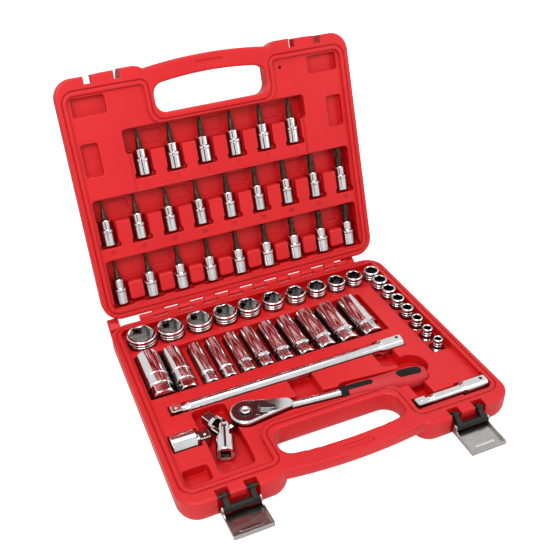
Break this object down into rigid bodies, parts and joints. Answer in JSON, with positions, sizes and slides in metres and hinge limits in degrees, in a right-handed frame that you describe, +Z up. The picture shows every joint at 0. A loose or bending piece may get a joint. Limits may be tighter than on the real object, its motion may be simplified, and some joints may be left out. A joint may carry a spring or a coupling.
{
  "type": "socket wrench set in case",
  "caption": "Hinged red carrying case with moulded seats for chrome sockets, bit sockets, a ratchet, extension bars, a universal joint and an adapter, closed by two draw latches.",
  "frame": {"origin": "middle of the base's flat underside", "axes": "+X to the right along the hinge, +Y from the handle to the hinge, +Z up"},
  "size_m": [0.328, 0.4088, 0.2804],
  "materials": {
    "case_plastic": "moulded satin",
    "chrome": "polished plate",
    "dark_steel": "blackened",
    "latch_steel": "pressed sheet",
    "pin_steel": "plain",
    "black_plastic": "moulded",
    "grip_plastic": "moulded matt",
    "grip_rubber": "soft moulded"
  },
  "bodies": {
    "base": {"base_shell": "case_plastic", "hinge_pin": "pin_steel", "latch_pivot_pins": "pin_steel"},
    "lid": {"lid_shell": "case_plastic", "bit_holders": "chrome", "cross_point_bits": "dark_steel", "star_bits": "dark_steel", "hex_bits": "dark_steel"},
    "ratchet": {"ratchet_body": "chrome", "ratchet_cover": "chrome", "ratchet_cover_screws": "dark_steel", "ratchet_grip": "grip_plastic", "ratchet_grip_inlays": "grip_rubber"},
    "ratchet_drive": {"ratchet_drive_gear": "chrome"},
    "ratchet_pawl": {"ratchet_pawl": "dark_steel"},
    "ratchet_lever": {"ratchet_reverse_lever": "dark_steel"},
    "ratchet_button": {"ratchet_release_button": "chrome"},
    "joint_socket": {"universal_joint_socket_fork": "chrome"},
    "joint_block": {"universal_joint_block": "chrome", "universal_joint_pins": "chrome"},
    "joint_drive": {"universal_joint_drive_fork": "chrome"},
    "long_bar": {"extension_bar_long": "chrome"},
    "short_bar": {"extension_bar_short": "chrome"},
    "adapter": {"drive_adapter": "chrome"},
    "link_left": {"latch_link_left": "black_plastic", "latch_plate_pin_left": "pin_steel"},
    "plate_left": {"latch_plate_left": "latch_steel"},
    "link_right": {"latch_link_right": "black_plastic", "latch_plate_pin_right": "pin_steel"},
    "plate_right": {"latch_plate_right": "latch_steel"},
    "deep_socket_10mm_piece": {"deep_socket_10mm": "chrome"},
    "deep_socket_11mm_piece": {"deep_socket_11mm": "chrome"},
    "deep_socket_12mm_piece": {"deep_socket_12mm": "chrome"},
    "deep_socket_13mm_piece": {"deep_socket_13mm": "chrome"},
    "deep_socket_14mm_piece": {"deep_socket_14mm": "chrome"},
    "deep_socket_15mm_piece": {"deep_socket_15mm": "chrome"},
    "deep_socket_17mm_piece": {"deep_socket_17mm": "chrome"},
    "deep_socket_18mm_piece": {"deep_socket_18mm": "chrome"},
    "deep_socket_19mm_piece": {"deep_socket_19mm": "chrome"},
    "socket_06mm_piece": {"socket_06mm": "chrome"},
    "socket_07mm_piece": {"socket_07mm": "chrome"},
    "socket_08mm_piece": {"socket_08mm": "chrome"},
    "socket_09mm_piece": {"socket_09mm": "chrome"},
    "socket_10mm_piece": {"socket_10mm": "chrome"},
    "socket_11mm_piece": {"socket_11mm": "chrome"},
    "socket_12mm_piece": {"socket_12mm": "chrome"},
    "socket_13mm_piece": {"socket_13mm": "chrome"},
    "socket_14mm_piece": {"socket_14mm": "chrome"},
    "socket_15mm_piece": {"socket_15mm": "chrome"},
    "socket_16mm_piece": {"socket_16mm": "chrome"},
    "socket_17mm_piece": {"socket_17mm": "chrome"},
    "socket_18mm_piece": {"socket_18mm": "chrome"},
    "socket_19mm_piece": {"socket_19mm": "chrome"},
    "socket_20mm_piece": {"socket_20mm": "chrome"},
    "socket_21mm_piece": {"socket_21mm": "chrome"},
    "socket_22mm_piece": {"socket_22mm": "chrome"},
    "socket_24mm_piece": {"socket_24mm": "chrome"},
    "spark_plug_socket_16mm_piece": {"spark_plug_socket_16mm": "chrome"},
    "spark_plug_socket_21mm_piece": {"spark_plug_socket_21mm": "chrome"}
  },
  "joints": [
    {"name": "lid_hinge", "type": "hinge", "parent": "base", "child": "lid", "pos_m": [0, 0.1325, 0.032], "axis": [-1, 0, 0], "range_deg": [-109.4, 0]},
    {"name": "latch_link_left", "type": "hinge", "parent": "base", "child": "link_left", "pos_m": [-0.1132, -0.126, 0.028], "axis": [-1, 0, 0], "range_deg": [-53, 0]},
    {"name": "latch_plate_left", "type": "hinge", "parent": "link_left", "child": "plate_left", "pos_m": [-0.1132, -0.13388, 0.02091], "axis": [1, 0, 0], "range_deg": [-134, 0]},
    {"name": "latch_link_right", "type": "hinge", "parent": "base", "child": "link_right", "pos_m": [0.1132, -0.126, 0.028], "axis": [-1, 0, 0], "range_deg": [-53, 0]},
    {"name": "latch_plate_right", "type": "hinge", "parent": "link_right", "child": "plate_right", "pos_m": [0.1132, -0.13388, 0.02091], "axis": [1, 0, 0], "range_deg": [-145, 0]},
    {"name": "ratchet_lift", "type": "slide", "parent": "base", "child": "ratchet", "axis": [0, 0, 1], "range_m": [0, 0.05]},
    {"name": "joint_lift", "type": "slide", "parent": "base", "child": "joint_socket", "axis": [0, 0, 1], "range_m": [0, 0.05]},
    {"name": "long_bar_lift", "type": "slide", "parent": "base", "child": "long_bar", "axis": [0, 0, 1], "range_m": [0, 0.05]},
    {"name": "short_bar_lift", "type": "slide", "parent": "base", "child": "short_bar", "axis": [0, 0, 1], "range_m": [0, 0.05]},
    {"name": "adapter_lift", "type": "slide", "parent": "base", "child": "adapter", "axis": [0, 0, 1], "range_m": [0, 0.05]},
    {"name": "ratchet_drive_spin", "type": "hinge", "parent": "ratchet", "child": "ratchet_drive", "pos_m": [-0.0738, -0.046, 0.023], "axis": [0, 0, 1], "continuous": true},
    {"name": "ratchet_button_press", "type": "slide", "parent": "ratchet_drive", "child": "ratchet_button", "axis": [0, 0, -1], "range_m": [0, 0.002], "stiffness_N_per_m": 600},
    {"name": "reverse_lever_turn", "type": "hinge", "parent": "ratchet", "child": "ratchet_lever", "pos_m": [-0.05767, -0.04755, 0.023], "axis": [0, 0, 1], "range_deg": [0, 50]},
    {"name": "pawl_rock", "type": "hinge", "parent": "ratchet", "child": "ratchet_pawl", "pos_m": [-0.05767, -0.04755, 0.023], "axis": [0, 0, 1], "range_deg": [0, 14]},
    {"name": "joint_swing", "type": "hinge", "parent": "joint_socket", "child": "joint_block", "pos_m": [-0.0987, -0.055, 0.0244], "axis": [0, 0, 1], "range_deg": [-25, 3]},
    {"name": "joint_tilt", "type": "hinge", "parent": "joint_block", "child": "joint_drive", "pos_m": [-0.0987, -0.055, 0.0244], "axis": [0.9205, 0.3907, 0], "range_deg": [0, 20]},
    {"name": "deep_socket_10mm_lift", "type": "slide", "parent": "base", "child": "deep_socket_10mm_piece", "axis": [0, 0, 1], "range_m": [0, 0.05]},
    {"name": "deep_socket_11mm_lift", "type": "slide", "parent": "base", "child": "deep_socket_11mm_piece", "axis": [0, 0, 1], "range_m": [0, 0.05]},
    {"name": "deep_socket_12mm_lift", "type": "slide", "parent": "base", "child": "deep_socket_12mm_piece", "axis": [0, 0, 1], "range_m": [0, 0.05]},
    {"name": "deep_socket_13mm_lift", "type": "slide", "parent": "base", "child": "deep_socket_13mm_piece", "axis": [0, 0, 1], "range_m": [0, 0.05]},
    {"name": "deep_socket_14mm_lift", "type": "slide", "parent": "base", "child": "deep_socket_14mm_piece", "axis": [0, 0, 1], "range_m": [0, 0.05]},
    {"name": "deep_socket_15mm_lift", "type": "slide", "parent": "base", "child": "deep_socket_15mm_piece", "axis": [0, 0, 1], "range_m": [0, 0.05]},
    {"name": "deep_socket_17mm_lift", "type": "slide", "parent": "base", "child": "deep_socket_17mm_piece", "axis": [0, 0, 1], "range_m": [0, 0.05]},
    {"name": "deep_socket_18mm_lift", "type": "slide", "parent": "base", "child": "deep_socket_18mm_piece", "axis": [0, 0, 1], "range_m": [0, 0.05]},
    {"name": "deep_socket_19mm_lift", "type": "slide", "parent": "base", "child": "deep_socket_19mm_piece", "axis": [0, 0, 1], "range_m": [0, 0.05]},
    {"name": "socket_06mm_lift", "type": "slide", "parent": "base", "child": "socket_06mm_piece", "axis": [0, 0, 1], "range_m": [0, 0.05]},
    {"name": "socket_07mm_lift", "type": "slide", "parent": "base", "child": "socket_07mm_piece", "axis": [0, 0, 1], "range_m": [0, 0.05]},
    {"name": "socket_08mm_lift", "type": "slide", "parent": "base", "child": "socket_08mm_piece", "axis": [0, 0, 1], "range_m": [0, 0.05]},
    {"name": "socket_09mm_lift", "type": "slide", "parent": "base", "child": "socket_09mm_piece", "axis": [0, 0, 1], "range_m": [0, 0.05]},
    {"name": "socket_10mm_lift", "type": "slide", "parent": "base", "child": "socket_10mm_piece", "axis": [0, 0, 1], "range_m": [0, 0.05]},
    {"name": "socket_11mm_lift", "type": "slide", "parent": "base", "child": "socket_11mm_piece", "axis": [0, 0, 1], "range_m": [0, 0.05]},
    {"name": "socket_12mm_lift", "type": "slide", "parent": "base", "child": "socket_12mm_piece", "axis": [0, 0, 1], "range_m": [0, 0.05]},
    {"name": "socket_13mm_lift", "type": "slide", "parent": "base", "child": "socket_13mm_piece", "axis": [0, 0, 1], "range_m": [0, 0.05]},
    {"name": "socket_14mm_lift", "type": "slide", "parent": "base", "child": "socket_14mm_piece", "axis": [0, 0, 1], "range_m": [0, 0.05]},
    {"name": "socket_15mm_lift", "type": "slide", "parent": "base", "child": "socket_15mm_piece", "axis": [0, 0, 1], "range_m": [0, 0.05]},
    {"name": "socket_16mm_lift", "type": "slide", "parent": "base", "child": "socket_16mm_piece", "axis": [0, 0, 1], "range_m": [0, 0.05]},
    {"name": "socket_17mm_lift", "type": "slide", "parent": "base", "child": "socket_17mm_piece", "axis": [0, 0, 1], "range_m": [0, 0.05]},
    {"name": "socket_18mm_lift", "type": "slide", "parent": "base", "child": "socket_18mm_piece", "axis": [0, 0, 1], "range_m": [0, 0.05]},
    {"name": "socket_19mm_lift", "type": "slide", "parent": "base", "child": "socket_19mm_piece", "axis": [0, 0, 1], "range_m": [0, 0.05]},
    {"name": "socket_20mm_lift", "type": "slide", "parent": "base", "child": "socket_20mm_piece", "axis": [0, 0, 1], "range_m": [0, 0.05]},
    {"name": "socket_21mm_lift", "type": "slide", "parent": "base", "child": "socket_21mm_piece", "axis": [0, 0, 1], "range_m": [0, 0.05]},
    {"name": "socket_22mm_lift", "type": "slide", "parent": "base", "child": "socket_22mm_piece", "axis": [0, 0, 1], "range_m": [0, 0.05]},
    {"name": "socket_24mm_lift", "type": "slide", "parent": "base", "child": "socket_24mm_piece", "axis": [0, 0, 1], "range_m": [0, 0.05]},
    {"name": "spark_plug_socket_16mm_lift", "type": "slide", "parent": "base", "child": "spark_plug_socket_16mm_piece", "axis": [0, 0, 1], "range_m": [0, 0.05]},
    {"name": "spark_plug_socket_21mm_lift", "type": "slide", "parent": "base", "child": "spark_plug_socket_21mm_piece", "axis": [0, 0, 1], "range_m": [0, 0.05]}
  ],
  "couplings": [
    {"joint": "latch_plate_left", "follows": "latch_link_left", "ratio": 2.5283},
    {"joint": "latch_plate_right", "follows": "latch_link_right", "ratio": 2.7359},
    {"joint": "pawl_rock", "follows": "reverse_lever_turn", "ratio": 0.28}
  ]
}
